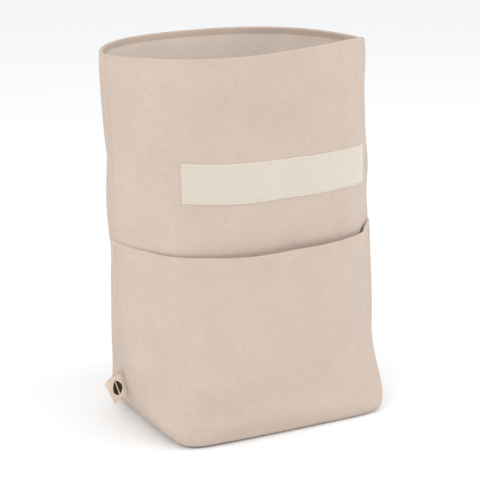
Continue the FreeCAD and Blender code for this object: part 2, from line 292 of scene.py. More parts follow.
def simulate_wall(points, side):
    """How far each point of a wall moves when the cloth settles, as an array like points."""
    rng = np.random.default_rng(31 + side)
    start = points + rng.normal(0, START_NOISE, points.shape)
    if side > 0:
        start = start[:, ::-1]
    wall = plain_mesh("settling_wall", start)
    rows, columns = points.shape[:2]
    index = np.arange(rows * columns).reshape(rows, columns)
    border = np.concatenate([index[0], index[-1], index[1:-1, 0], index[1:-1, -1]])
    held = wall.vertex_groups.new(name="held")
    held.add(border.tolist(), 1.0, "REPLACE")
    cloth = wall.modifiers.new("settle", "CLOTH")
    cloth.settings.quality = 6
    cloth.settings.mass = 0.35
    cloth.settings.tension_stiffness = 25
    cloth.settings.compression_stiffness = 25
    cloth.settings.shear_stiffness = 12
    cloth.settings.bending_stiffness = 6
    cloth.settings.vertex_group_mass = "held"
    cloth.settings.shrink_min = -0.012
    cloth.settings.use_pressure = True
    cloth.settings.uniform_pressure_force = 0.25
    cloth.point_cache.frame_start, cloth.point_cache.frame_end = 1, SIM_FRAMES
    for frame_number in range(1, SIM_FRAMES + 1):
        bpy.context.scene.frame_set(frame_number)
    settled = wall.evaluated_get(bpy.context.evaluated_depsgraph_get()).data
    found = np.zeros(len(settled.vertices) * 3)
    settled.vertices.foreach_get("co", found)
    found = found.reshape(points.shape)
    if side > 0:
        found = found[:, ::-1]
    bpy.data.objects.remove(wall)
    bpy.context.scene.frame_set(1)
    return found - points


def smooth_share(fine, coarse, steps):
    """Weights that read coarse values at fine places: a Gaussian that is this many steps wide."""
    step = (coarse[-1] - coarse[0]) / (len(coarse) - 1) * steps
    weight = np.exp(-((fine[:, None] - coarse[None, :]) / step) ** 2 / 2)
    return weight / weight.sum(axis=1, keepdims=True)


WALL_START = len(BASE_SHARES) + len(ROUND_ANGLES)


def settle(points, side):
    """Adds the settled cloth's capped and smoothed movement to the wall rows of one half.

    The cap is cap * tanh(distance / cap), and the movement fades out at the seams, foot and rim.
    """
    wall = points[WALL_START:]
    row_pick = np.arange(0, WALL_ROWS, SIM_ROW_STEP)
    column_pick = np.linspace(0, COLUMNS - 1, COLUMNS // SIM_COLUMN_STEP + 1).astype(int)
    move = simulate_wall(wall[row_pick][:, column_pick], side)
    places = (row_pick.astype(float), column_share[column_pick])
    broad = [smooth_share(place, place, WIDE_STEPS) for place in places]
    move = move - np.einsum("ri,ijk,cj->rck", broad[0], move, broad[1])
    far = np.linalg.norm(move, axis=2, keepdims=True)
    move = move * (SIM_CAP * np.tanh(far / SIM_CAP) / np.maximum(far, 1e-9))
    rows = smooth_share(np.arange(WALL_ROWS, dtype=float), places[0], FINE_STEPS)
    columns = smooth_share(column_share, places[1], FINE_STEPS)
    fine = np.einsum("ri,ijk,cj->rck", rows, move, columns)
    across = np.clip(np.minimum(column_share, 1 - column_share) / SEAM_SHARE, 0, 1)[None, :, None]
    height = row_height[WALL_START:]
    up = np.clip(np.minimum(height, RIM_HEIGHT - height) / EDGE_FADE, 0, 1)[:, None, None]
    settled = points.copy()
    settled[WALL_START:] += fine * across * up
    print("side", side, "folds up to", round(float(far.max()) / MM, 2), "mm, mean",
          round(float(far.mean()) / MM, 2))
    return settled


# %% [markdown]
# Normals come from the grid itself: the cross product of the direction along a row and the
# direction up a column.  They point out of the bag on both halves.  Near a seam they turn towards
# the seam's own outward direction, so that the layers of the two halves meet there.

# %% The two grids
SEAM_TURN = 3 * MM


def grid_normals(points, side, length):
    """Unit cross product of the column and row directions, turned outwards and blended at seams."""
    along = np.gradient(points, axis=1)
    up = np.gradient(points, axis=0)
    n = np.cross(along, up) * -side
    n = n / np.maximum(np.linalg.norm(n, axis=2, keepdims=True), 1e-12)
    away = np.minimum(column_share, 1 - column_share)[None, :] * length[:, None]
    keep = np.clip(away / SEAM_TURN, 0, 1)[:, :, None]
    keep = np.where(row_height[:, None, None] < FLOOR_RADIUS, 1.0, keep * keep * (3 - 2 * keep))
    outward = np.where(column_share < 0.5, -1.0, 1.0)[None, :, None] * np.array([1.0, 0.0, 0.0])
    n = n * keep + outward * (1 - keep)
    n = np.where(row_height[:, None, None] < 0, np.array([0.0, 0.0, -1.0]), n)
    return n / np.maximum(np.linalg.norm(n, axis=2, keepdims=True), 1e-12)


def make_grid(side):
    """Points, normals and cloth lengths of one half: side -1 is the front and +1 the back."""
    x, y, length = section_points(row_z, row_grow)
    u = column_share[None, :] + np.zeros_like(x)
    z = row_z[:, None] + np.zeros_like(x)
    x, y, z_new = stand(x, y * row_share[:, None], z, u, side)
    points = settle(np.stack([x, y, z_new], axis=2), side)
    normals = grid_normals(points, side, length)
    push = dents(u, z, side) + seam_relief(u, z, length[:, None])
    points = points + normals * push[:, :, None]
    return points, grid_normals(points, side, length), length


GRIDS = {side: make_grid(side) for side in (-1, 1)}


def on_cloth(side, u, height, out=0.0):
    """Points of one half's outer cloth at share u along the row and at a height, moved out."""
    points, normals, _ = GRIDS[side]
    u, height, out = np.broadcast_arrays(*[np.asarray(v, float) for v in (u, height, out)])
    row = np.interp(height, row_height, np.arange(len(row_height)))
    column = np.interp(u, column_share, np.arange(COLUMNS))
    i = np.minimum(row.astype(int), len(row_height) - 2)
    j = np.minimum(column.astype(int), COLUMNS - 2)
    f, g = (row - i)[..., None], (column - j)[..., None]
    found = []
    for values in (points, normals):
        low = values[i, j] * (1 - g) + values[i, j + 1] * g
        high = values[i + 1, j] * (1 - g) + values[i + 1, j + 1] * g
        found.append(low * (1 - f) + high * f)
    return found[0] + found[1] * out[..., None]


# %% [markdown]
# ## Mesh helpers
# Every layer is a closed sheet: an outer grid, an inner grid, and a strip of faces that joins them
# along the four edges.  The UV map is the cloth's own length along and up, in metres, so a weave
# drawn on it keeps its scale everywhere.

# %% Mesh helpers
def quads_of(rows, columns, first=0, flip=False):
    """Corner indices of every face of a grid of rows x columns vertices."""
    i, j = np.meshgrid(np.arange(rows - 1), np.arange(columns - 1), indexing="ij")
    a = (first + i * columns + j).ravel()
    faces = np.stack([a, a + 1, a + columns + 1, a + columns], axis=1)
    return faces[:, ::-1] if flip else faces


def new_piece(name, vertices, quads, uv=None, crease=50):
    """A smooth-shaded mesh object from vertex and quad arrays, with an optional UV per vertex."""
    mesh = bpy.data.meshes.new(name)
    mesh.vertices.add(len(vertices))
    mesh.vertices.foreach_set("co", np.asarray(vertices, np.float32).ravel())
    mesh.loops.add(quads.size)
    mesh.loops.foreach_set("vertex_index", quads.astype(np.int32).ravel())
    mesh.polygons.add(len(quads))
    mesh.polygons.foreach_set("loop_start", np.arange(0, quads.size, quads.shape[1], dtype=np.int32))
    mesh.update(calc_edges=True)
    mesh.validate()
    if uv is not None:
        layer = mesh.uv_layers.new(name="cloth")
        corner = np.zeros(len(mesh.loops), np.int32)
        mesh.loops.foreach_get("vertex_index", corner)
        layer.data.foreach_set("uv", np.asarray(uv, np.float32)[corner].ravel())
    mesh.polygons.foreach_set("use_smooth", np.ones(len(mesh.polygons), bool))
    mesh.set_sharp_from_angle(angle=math.radians(crease))
    piece = bpy.data.objects.new(name, mesh)
    bpy.context.scene.collection.objects.link(piece)
    return piece


def edge_loop(rows, columns):
    """Indices of a grid's border, once round."""
    index = np.arange(rows * columns).reshape(rows, columns)
    return np.concatenate([index[0, :-1], index[:-1, -1], index[-1, :0:-1], index[:0:-1, 0]])


def closed_sheet(name, outer, inner, uv, side, crease=50):
    """Two grids of the same shape joined round their border."""
    rows, columns = outer.shape[:2]
    count = rows * columns
    border = edge_loop(rows, columns)
    after = np.roll(border, -1)
    walls = np.stack([after, border, border + count, after + count], axis=1)
    flip = side > 0
    quads = np.concatenate([quads_of(rows, columns, 0, flip),
                            quads_of(rows, columns, count, not flip),
                            walls[:, ::-1] if flip else walls])
    vertices = np.concatenate([outer.reshape(-1, 3), inner.reshape(-1, 3)])
    both = np.concatenate([uv.reshape(-1, 2)] * 2)
    return new_piece(name, vertices, quads, both, crease)


def layer(name, side, u, outer_rows, inner_rows, stand_off=None, lift=None, crease=50):
    """A closed sheet on the cloth: each row is (height, how far out of the outer canvas)."""
    faces = []
    for rows in (outer_rows, inner_rows):
        height, out = np.array(rows).T[:, :, None] + np.zeros((1, 1, len(u)))
        extra = 0 if stand_off is None else stand_off(u[None, :], height)
        raised = height if lift is None else height + lift(u[None, :], height)
        faces.append(on_cloth(side, u[None, :] + np.zeros_like(height), raised, out + extra))
    steps = np.linalg.norm(np.diff(faces[0], axis=0), axis=2)
    up = np.concatenate([np.zeros((1, len(u))), np.cumsum(steps, axis=0)])[:, len(u) // 2]
    length = np.linalg.norm(np.diff(faces[0], axis=1), axis=2).sum(axis=1).mean() / (u[-1] - u[0])
    across, tall = np.meshgrid((u - 0.5) * length, up)
    return closed_sheet(name, faces[0], faces[1], np.stack([across, tall], axis=2), side, crease)


# %% [markdown]
# ## Materials
# Cloth gets its look from three scales at once: the over-and-under of the weave, the thick and thin
# places of the yarns, and a slow change of tone over the whole panel.  All of them read the UV map
# in metres.  Small helpers keep the node trees short.

# %% Node helpers
class Tree:
    """A material's node tree with short calls for the nodes that cloth needs."""

    def __init__(self, name):
        self.material = bpy.data.materials.new(name)
        self.material.use_nodes = True
        self.nodes = self.material.node_tree.nodes
        self.links = self.material.node_tree.links
        self.shader = self.nodes["Principled BSDF"]

    def put(self, socket, value):
        """Links a socket to another one, or sets its number or colour."""
        if isinstance(value, bpy.types.NodeSocket):
            self.links.new(value, socket)
        else:
            socket.default_value = value

    def math(self, operation, *values):
        """A Math node of this operation."""
        node = self.nodes.new("ShaderNodeMath")
        node.operation = operation
        for socket, value in zip(node.inputs, values):
            self.put(socket, value)
        return node.outputs[0]

    def uv(self, scale, turn=0.0):
        """The cloth's own UV map, stretched and turned."""
        source = self.nodes.new("ShaderNodeUVMap")
        source.uv_map = "cloth"
        place = self.nodes.new("ShaderNodeMapping")
        place.inputs["Scale"].default_value = (scale[0], scale[1], 1)
        place.inputs["Rotation"].default_value = (0, 0, turn)
        self.links.new(source.outputs[0], place.inputs["Vector"])
        return place.outputs[0]

    def noise(self, vector, scale, detail, rough):
        """Noise from about 0 to 1."""
        node = self.nodes.new("ShaderNodeTexNoise")
        node.inputs["Scale"].default_value = scale
        node.inputs["Detail"].default_value = detail
        node.inputs["Roughness"].default_value = rough
        self.links.new(vector, node.inputs["Vector"])
        return node.outputs[0]

    def ramp(self, value, stops):
        """A colour ramp with (place, colour) stops."""
        node = self.nodes.new("ShaderNodeValToRGB")
        ends = node.color_ramp.elements
        ends[0].position, ends[0].color = stops[0][0], (*stops[0][1], 1)
        ends[1].position, ends[1].color = stops[-1][0], (*stops[-1][1], 1)
        for place, colour in stops[1:-1]:
            ends.new(place).color = (*colour, 1)
        self.put(node.inputs[0], value)
        return node.outputs[0]

    def blend(self, share, first, second):
        """A colour mix."""
        node = self.nodes.new("ShaderNodeMix")
        node.data_type = "RGBA"
        self.put(node.inputs[0], share)
        self.put(node.inputs[6], first)
        self.put(node.inputs[7], second)
        return node.outputs[2]

    def bump(self, height, strength, distance, under=None):
        """A bump from a height, on top of another bump."""
        node = self.nodes.new("ShaderNodeBump")
        node.inputs["Strength"].default_value = strength
        node.inputs["Distance"].default_value = distance
        self.put(node.inputs["Height"], height)
        if under is not None:
            self.links.new(under, node.inputs["Normal"])
        return node.outputs[0]

    def finish(self, colour, roughness, normal=None, sheen=0.0):
        """Sets the shader and returns the material."""
        self.put(self.shader.inputs["Base Color"], colour)
        self.put(self.shader.inputs["Roughness"], roughness)
        self.shader.inputs["Sheen Weight"].default_value = sheen
        self.shader.inputs["Sheen Roughness"].default_value = 0.6
        self.shader.inputs["Specular IOR Level"].default_value = 0.2
        if normal is not None:
            self.links.new(normal, self.shader.inputs["Normal"])
        return self.material


def split(tree, vector):
    """The x and y of a vector."""
    node = tree.nodes.new("ShaderNodeSeparateXYZ")
    tree.links.new(vector, node.inputs[0])
    return node.outputs[0], node.outputs[1]


# %% [markdown]
# Plain weave: yarns cross over and under in turn.  With x and y counted in yarns, sin(pi x) times
# sin(pi y) is positive where the upright yarn is on top and negative where the level one is.  Each
# yarn is round across, so its height is |sin| raised to a power below one.

# %% Canvas material
def weave_height(tree, pitch):
    """Height of a plain weave whose yarns are one pitch apart, from 0 to 1."""
    x, y = split(tree, tree.uv((math.pi / pitch, math.pi / pitch)))
    a, b = tree.math("SINE", x), tree.math("SINE", y)
    upright = tree.math("GREATER_THAN", tree.math("MULTIPLY", a, b), 0.0)
    a, b = tree.math("ABSOLUTE", a), tree.math("ABSOLUTE", b)

    def yarn(across, along):
        """One yarn: round across, and a little higher in the middle of each crossing."""
        swell = tree.math("MULTIPLY_ADD", along, 0.35, 0.65)
        return tree.math("MULTIPLY", tree.math("POWER", across, 0.7), swell)

    warp, weft = yarn(a, b), yarn(b, a)
    difference = tree.math("SUBTRACT", warp, weft)
    return tree.math("MULTIPLY_ADD", difference, upright, weft)


def woven_cloth(name, colour, pitch=0.62 * MM, relief=0.30 * MM, mottle=0.095, flecks=True):
    """Undyed woven cotton: weave, slubs along both yarns, slow tone changes, husk flecks and painted
    shade where the weave dips.
    """
    tree = Tree(name)
    weave = weave_height(tree, pitch)
    level = tree.noise(tree.uv((90, 1500)), 1.0, 3.0, 0.6)
    upright = tree.noise(tree.uv((1500, 90)), 1.0, 3.0, 0.6)
    slub = tree.math("ADD", tree.math("MULTIPLY", level, 0.55), tree.math("MULTIPLY", upright, 0.45))
    cloudy = tree.noise(tree.uv((28, 28)), 1.0, 3.0, 0.55)
    grain = tree.noise(tree.uv((700, 700)), 1.0, 2.0, 0.5)
    tone = tree.math("ADD", tree.math("MULTIPLY", slub, 0.50), tree.math("MULTIPLY", cloudy, 0.14))
    tone = tree.math("ADD", tone, tree.math("MULTIPLY", grain, 0.16))
    # The weave's height also sets the colour, darker where the yarns dip: painted shade between the
    # yarns.
    tone = tree.math("ADD", tone, tree.math("MULTIPLY", weave, 0.20))
    light = tuple(min(c * (1 + mottle * 2.2), 1) for c in colour)
    dark = tuple(c * (1 - mottle * 2.8) for c in colour)
    shade = tree.ramp(tone, [(0.30, dark), (0.52, colour), (0.74, light)])
    if flecks:
        spot = tree.nodes.new("ShaderNodeTexVoronoi")
        spot.inputs["Scale"].default_value = 1.0
        tree.links.new(tree.uv((110, 150)), spot.inputs["Vector"])
        near = tree.math("LESS_THAN", spot.outputs["Distance"], 0.045)
        rare = tree.math("GREATER_THAN", split(tree, spot.outputs["Color"])[0], 0.80)
        husk = tree.math("MULTIPLY", tree.math("MULTIPLY", near, rare), 0.5)
        shade = tree.blend(husk, shade, (0.20, 0.12, 0.07, 1))
    rough_cloth = tree.bump(slub, 0.35, relief * 1.4)
    normal = tree.bump(weave, 0.45, relief, rough_cloth)
    return tree.finish(shade, 0.92, normal, 0.12)


CANVAS_COLOUR = (0.548, 0.449, 0.378)
canvas = woven_cloth("natural_canvas", CANVAS_COLOUR)
# The inner cloth gets a lighter colour than the canvas: painted light that brightens the shaded
# inside of the bag.
lining_painted_lighter = woven_cloth("inner_cloth", (0.700, 0.605, 0.530), 0.45 * MM, 0.15 * MM, 0.04)

# %% [markdown]
# Thread is twisted, so it carries fine slanted lines.  The loop side of the fastener is a brushed
# pile: no clear pattern, a soft bump and more sheen.  The hook side is moulded, harder and smoother.

# %% Thread, tape, foam and plate materials
def thread_material(name, colour):
    """Twisted thread: slanted bands along the stitch, bumped, and darker in the grooves as painted
    shade.
    """
    tree = Tree(name)
    place = tree.nodes.new("ShaderNodeTexCoord").outputs["Object"]
    wave = tree.nodes.new("ShaderNodeTexWave")
    wave.bands_direction = "DIAGONAL"
    wave.inputs["Scale"].default_value = 900
    wave.inputs["Distortion"].default_value = 1.5
    tree.links.new(place, wave.inputs["Vector"])
    # The bands are darker in colour where the twist dips: painted shade in its grooves.
    shade = tree.ramp(wave.outputs[0], [(0.0, tuple(c * 0.82 for c in colour)), (1.0, colour)])
    return tree.finish(shade, 0.75, tree.bump(wave.outputs[0], 0.4, 0.08 * MM), 0.15)


def pile_material(name, colour):
    """Brushed loops: tangled noise at two scales."""
    tree = Tree(name)
    fuzz = tree.noise(tree.uv((1300, 1300)), 1.0, 3.0, 0.65)
    lay = tree.noise(tree.uv((60, 260), 0.15), 1.0, 3.0, 0.6)
    tone = tree.math("ADD", tree.math("MULTIPLY", fuzz, 0.6), tree.math("MULTIPLY", lay, 0.4))
    shade = tree.ramp(tone, [(0.32, tuple(c * 0.90 for c in colour)), (0.70, colour)])
    return tree.finish(shade, 0.95, tree.bump(tone, 0.5, 0.3 * MM), 0.35)


def plain_material(name, colour, grain, roughness, relief):
    """Foam, plate, hooks and ink: a fine grain on one colour, read from the object's place."""
    tree = Tree(name)
    place = tree.nodes.new("ShaderNodeTexCoord").outputs["Object"]
    speck = tree.noise(place, grain, 3.0, 0.6)
    shade = tree.ramp(speck, [(0.3, tuple(c * 0.90 for c in colour)), (0.7, colour)])
    return tree.finish(shade, roughness, tree.bump(speck, 0.3, relief), 0.0)


thread = thread_material("sewing_thread", tuple(c * 1.04 for c in CANVAS_COLOUR))
tape_thread = thread_material("tape_thread", (0.68, 0.61, 0.53))
loop_pile = pile_material("loop_pile", (0.605, 0.540, 0.462))
selvage = woven_cloth("tape_weave", (0.645, 0.575, 0.492), 0.4 * MM, 0.10 * MM, 0.02, False)
hook_nylon = plain_material("hook_nylon", (0.64, 0.58, 0.49), 900, 0.45, 0.05 * MM)
foam = plain_material("foam_sheet", (0.80, 0.79, 0.74), 1400, 0.95, 0.3 * MM)
plate = plain_material("stiff_plate", (0.72, 0.70, 0.65), 300, 0.55, 0.02 * MM)
label_tape = woven_cloth("label_tape", (0.80, 0.68, 0.57), 0.3 * MM, 0.06 * MM, 0.015, False)
ink = plain_material("dark_ink", (0.040, 0.024, 0.018), 1200, 0.7, 0.01 * MM)


def dress(piece, material, body):
    """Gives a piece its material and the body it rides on."""
    piece.data.materials.clear()
    piece.data.materials.append(material)
    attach(piece, body)
    return piece


# %% [markdown]
# ## Outer canvas
# Each half is one sheet: half the base, the wall, and the edge that rolls over the rim and turns
# down inside.  The roll is a half circle as thick as the whole wall.  The inner face follows it one
# cloth thickness behind.

# %% Outer canvas
SIDES = ((-1, "front"), (1, "back"))
RIM_RADIUS = WALL / 2 + 0.1 * MM
full = column_share


def wall_heights(top, spacing=2.0 * MM):
    """Heights of rows from the middle of the base to a level on the wall."""
    low = row_height[row_height < FLOOR_RADIUS - 1e-6]
    return np.concatenate([low, np.linspace(FLOOR_RADIUS, top, int((top - FLOOR_RADIUS) / spacing))])


def rim_roll(radius, top, depth):
    """Half circle over an edge, then straight down: (height, out) rows."""
    angles = np.linspace(np.pi / 2, -np.pi / 2, 9)[1:]
    over = [(top + radius * math.cos(a), (radius * math.sin(a)) - RIM_RADIUS) for a in angles]
    down = [(top - depth * k, -radius - RIM_RADIUS) for k in (0.35, 0.7, 1.0)]
    return over + down


def canvas_half(side, name):
    """One half of the outer canvas."""
    top = RIM_HEIGHT - RIM_RADIUS
    outer = [(h, 0.0) for h in wall_heights(top)] + rim_roll(RIM_RADIUS, top, RIM_TURN)
    inner = [(h, -CANVAS) for h in wall_heights(top)] + rim_roll(RIM_RADIUS - CANVAS, top, RIM_TURN)
    piece = layer(name + "_canvas", side, full, outer, inner)
    dress(piece, canvas, "bag")
    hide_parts(name + "_panel")
    return piece


for side, name in SIDES:
    piece = canvas_half(side, name)
    print(piece.name, len(piece.data.polygons), "faces")

# %% [markdown]
# ## Foam, plate and lining
# The foam is what makes the bag stand open.  It is hidden, but it is part of the model, so it
# follows the same grid between the two cloths.  The lining covers the plate and goes up to the
# turned rim, where a small step shows as a dark line.

# %% Foam and lining
FLOOR_STACK = 5 * MM
STACK_REACH = 14 * MM
FOAM_TOP = RIM_HEIGHT - RIM_TURN - 1 * MM
coarse = np.linspace(0, 1, 101)


def stack_depth(height, floor, wall):
    """Depth of a layer: one value on the floor, another on the wall, and a smooth step between."""
    share = np.clip(height / STACK_REACH, 0, 1)
    return floor + (wall - floor) * share * share * (3 - 2 * share)


def foam_wall(side, name):
    """Foam sheet of one wall."""
    heights = np.linspace(8 * MM, FOAM_TOP, 81)
    piece = layer(name + "_foam", side, coarse, [(h, -CANVAS - 0.1 * MM) for h in heights],
                  [(h, -WALL + 0.9 * MM) for h in heights])
    dress(piece, foam, "bag")
    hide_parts(name + "_padding")


def foam_floor():
    """Foam tray over the floor: both halves of the base and a low turned-up edge, as one mesh."""
    low = row_height[row_height < FLOOR_RADIUS - 1e-6]
    heights = np.concatenate([low, [FLOOR_RADIUS, 7.6 * MM]])
    halves = []
    for side, _ in SIDES:
        rows = [on_cloth(side, coarse[None, :] + 0 * heights[:, None], heights[:, None], out)
                for out in (-CANVAS - 0.1 * MM, -CANVAS - 1.9 * MM)]
        halves.append(rows)
    outer = np.concatenate([halves[0][0][::-1], halves[1][0][1:]])
    inner = np.concatenate([halves[0][1][::-1], halves[1][1][1:]])
    uv = np.stack(np.meshgrid(coarse, np.arange(len(outer)) * MM), axis=2)
    piece = closed_sheet("floor_foam", outer, inner, uv, 1)
    dress(piece, foam, "bag")
    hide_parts("base_padding")


def lining_half(side, name):
    """One half of the inner cloth: floor, wall, and its upper edge behind the turned rim."""
    heights = wall_heights(RIM_HEIGHT - RIM_TURN + 1.2 * MM, 3 * MM)
    face = [(h, -stack_depth(max(h, 0), FLOOR_STACK, WALL)) for h in heights]
    behind = [(h, out + 0.5 * MM) for h, out in face]
    piece = layer(name + "_inner_cloth", side, coarse, behind, face)
    dress(piece, lining_painted_lighter, "bag")
    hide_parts(name + "_lining")


for side, name in SIDES:
    foam_wall(side, name)
    lining_half(side, name)
foam_floor()
frame["nodes"]["base_board"].data.materials.clear()
frame["nodes"]["base_board"].data.materials.append(plate)

# %% [markdown]
# ## Front pocket
# A second sheet of canvas is caught in both side seams and in the bottom edge.  Its upper edge is
# turned to the inside and stitched, so the edge is a small roll of double cloth.  It stands off the
# bag in the middle and meets it at the seams.

# %% Front pocket
POCKET_GAP = 7.4 * MM
HEM = 13 * MM
POCKET_ROLL = 1.0 * MM
POCKET_TILT = -4.8 * MM


def pocket_stand_off(u, height):
    """How far the pocket stands off the bag: sin(pi u)^1.6 across, growing towards the edge."""
    share = np.clip(height / POCKET_HEIGHT, 0, 1.1)
    return POCKET_GAP * np.sin(np.pi * np.clip(u, 0, 1)) ** 1.6 * share ** 1.6


def pocket_lift(u, height):
    """The pocket is sewn in a little lower at the right seam: a tilt that grows with height."""
    return POCKET_TILT * (2 * u - 1) * np.clip(height / POCKET_HEIGHT, 0, 1) ** 2


def front_pocket():
    """The pocket: outer face, rolled edge, turned hem, and the single cloth below it."""
    top = POCKET_HEIGHT - POCKET_ROLL
    lift = CANVAS + 0.15 * MM
    up = np.concatenate([FLOOR_RADIUS * (1 - np.cos(ROUND_ANGLES[1:])),
                         np.linspace(FLOOR_RADIUS, top, 82)])
    roll = [(top + POCKET_ROLL * math.cos(a), lift - POCKET_ROLL * (1 - math.sin(a)))
            for a in np.linspace(np.pi / 2, -np.pi / 2, 9)]
    face = lift * np.clip(up / FLOOR_RADIUS, 0, 1)
    outer = list(zip(up, face)) + roll[1:5]
    in_hem = up > POCKET_HEIGHT - HEM
    hem_depth = np.where(in_hem, face - 2 * POCKET_ROLL, face - CANVAS)
    inner = [(h, out) for h, out in zip(up, hem_depth)] + roll[:3:-1][1:]
    piece = layer("front_pocket_cloth", -1, full, outer, inner, pocket_stand_off, pocket_lift)
    dress(piece, canvas, "bag")
    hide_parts("front_pocket")
    return piece


front_pocket()

# %% [markdown]
# ## Stitches
# A lockstitch seen from outside is a row of short threads, each rising out of one hole and diving
# into the next.  Each one is a small tube of six sides whose middle stands proud.

# %% Rows of stitches
STITCH = 3.0 * MM
STITCH_GAP = 0.7 * MM
RINGS = 7
SPOKES = 6


def stitch_tubes(name, starts, ends, ups, radius, rise):
    """Tubes whose middle line is start + (end - start) t + up * rise * (1 - s^4)."""
    s = np.linspace(-1, 1, RINGS)
    along = (ends - starts)[:, None, :] * ((s + 1) / 2)[None, :, None] + starts[:, None, :]
    middle = along + ups[:, None, :] * ((rise + radius) * (1 - s ** 4) - radius)[None, :, None]
    thick = radius * np.sqrt(1 - (0.93 * s) ** 6)
    ahead = (ends - starts) / np.linalg.norm(ends - starts, axis=1, keepdims=True)
    across = np.cross(ahead, ups)
    angle = np.arange(SPOKES) * 2 * np.pi / SPOKES
    ring = (across[:, None, :] * np.cos(angle)[None, :, None]
            + ups[:, None, :] * np.sin(angle)[None, :, None])
    points = middle[:, :, None, :] + ring[:, None, :, :] * thick[None, :, None, None]
    count, per = len(starts), RINGS * SPOKES
    i, j = np.meshgrid(np.arange(RINGS - 1), np.arange(SPOKES), indexing="ij")
    a, b = i * SPOKES + j, i * SPOKES + (j + 1) % SPOKES
    one = np.stack([a, b, b + SPOKES, a + SPOKES], axis=2).reshape(-1, 4)
    last = (RINGS - 1) * SPOKES
    caps = np.array([[3, 2, 1, 0], [5, 4, 3, 0], [last, last + 1, last + 2, last + 3],
                     [last, last + 3, last + 4, last + 5]])
    one = np.concatenate([one, caps])
    quads = (one[None] + (np.arange(count) * per)[:, None, None]).reshape(-1, 4)
    return new_piece(name, points.reshape(-1, 3), quads)


def stitch_line(side, u, height, out, extra=None):
    """Start, end and normal of every stitch along a path given as finely spaced u and height."""
    lift = out if extra is None else out + extra(u, height)
    path = on_cloth(side, u, height, lift)
    normal = on_cloth(side, u, height, lift + 1.0) - path
    run = np.concatenate([[0], np.cumsum(np.linalg.norm(np.diff(path, axis=0), axis=1))])
    count = int(run[-1] / (STITCH + STITCH_GAP))
    begin = (np.arange(count) + 0.5) * run[-1] / count - STITCH / 2

    def at(values, where):
        return np.stack([np.interp(where, run, values[:, k]) for k in range(3)], axis=1)

    ups = at(normal, begin + STITCH / 2)
    ups = ups / np.linalg.norm(ups, axis=1, keepdims=True)
    return at(path, begin), at(path, begin + STITCH), ups


def sew(name, lines, node, material, radius):
    """Joins several stitch lines into one piece that stands for a CAD node."""
    starts, ends, ups = [np.concatenate(part) for part in zip(*lines)]
    piece = stitch_tubes(name, starts, ends, ups, radius, 0.6 * radius)
    dress(piece, material, "bag")
    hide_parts(node)
    print(name, len(starts), "stitches")
    return piece


walk = np.linspace(0.006, 0.994, 1200)
hem_level = np.full_like(walk, POCKET_HEIGHT - HEM + 1 * MM)
sew("pocket_hem_stitches", [stitch_line(-1, walk, hem_level + pocket_lift(walk, hem_level),
                                        CANVAS + 0.10 * MM, pocket_stand_off)],
    "pocket_hem_stitching", thread, 0.14 * MM)

# %% [markdown]
# ## Fastener tapes
# A loop tape has a thin woven edge on both sides and a raised pile between.  The row heights make
# that profile.  Its ends are cut straight.  The tape is sewn round with one row of stitches just
# inside the edge.

# %% Fastener tapes
TAPE_EDGE = 2.4 * MM
TAPE_THIN = 0.9 * MM
TAPE_PILE = 1.25 * MM
TAPE_EASE = {-1: 6.5 * MM, 1: 2.5 * MM}
TAPE_TRIM = 0.5 * MM
TAPE_RAISE = {-1: 1.8 * MM, 1: 0.0}
TAPE_FALL = {-1: 6.4 * MM, 1: 0.0}
TAPE_INSET = 1.4 * MM


def u_at_x(side, x, height):
    """The share along the row at which the cloth has this x."""
    u = np.linspace(0, 1, 801)
    return float(np.interp(x, on_cloth(side, u, np.full_like(u, height))[:, 0], u))


def tape_profile(low, high):
    """(height, out) rows of the tape's outer face: thin edge, raised pile, thin edge."""
    edge = [(0.0, 0.10), (0.2, 0.75), (0.6, TAPE_THIN / MM), (TAPE_EDGE / MM - 0.9, TAPE_THIN / MM),
            (TAPE_EDGE / MM - 0.2, 1.1), (TAPE_EDGE / MM + 0.8, TAPE_PILE / MM)]
    left = [(low + h * MM, out * MM) for h, out in edge]
    middle = [(low + (high - low) * k, TAPE_PILE) for k in np.linspace(0.15, 0.85, 12)]
    right = [(high - h * MM, out * MM) for h, out in edge][::-1]
    return left + middle + right


def sew_tape(side, names, nodes, pile):
    """A tape and its stitches, sized by its CAD node and laid on the settled cloth."""
    low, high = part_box(nodes[0])
    bottom, top = low.z + TAPE_TRIM, high.z - TAPE_TRIM
    reach = high.x + TAPE_EASE[side]
    level = (low.z + high.z) / 2
    u0, u1 = u_at_x(side, -reach, level), u_at_x(side, reach, level)

    def tape_lift(u, height):
        """The tape is sewn on a little out of level."""
        return TAPE_RAISE[side] - TAPE_FALL[side] * (u - u0) / (u1 - u0) + 0 * height

    rows = tape_profile(bottom, top)
    u = np.concatenate([[u0, u0 + 0.0006], np.linspace(u0 + 0.003, u1 - 0.003, 121),
                        [u1 - 0.0006, u1]])
    under = [(h, 0.05 * MM) for h, _ in rows]
    tape = layer(names[0], side, u, rows, under, None, tape_lift, crease=70)
    dress(tape, pile, "bag")
    tape.data.materials.append(selvage)
    maps = np.zeros(len(tape.data.loops) * 2)
    tape.data.uv_layers["cloth"].data.foreach_get("uv", maps)
    starts = np.zeros(len(tape.data.polygons), np.int32)
    tape.data.polygons.foreach_get("loop_start", starts)
    v = maps.reshape(-1, 2)[:, 1]
    first, across = v[starts], (v[starts] + v[starts + 2]) / 2
    thin = (across < TAPE_EDGE) | (across > first.max() - TAPE_EDGE)
    tape.data.polygons.foreach_set("material_index", thin.astype(np.int32))
    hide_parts(nodes[0])
    along = np.linspace(u0 + 0.005, u1 - 0.005, 900)
    up = np.linspace(bottom + 4 * MM, top - 4 * MM, 90)
    lines = [stitch_line(side, along, h + tape_lift(along, h), TAPE_THIN)
             for h in (bottom + TAPE_INSET, top - TAPE_INSET)]
    lines += [stitch_line(side, np.full_like(up, k), up + tape_lift(k, up), TAPE_PILE - 0.1 * MM)
              for k in (u0 + 0.006, u1 - 0.006)]
    sew(names[1], lines, nodes[1], tape_thread, 0.17 * MM)
    return tape


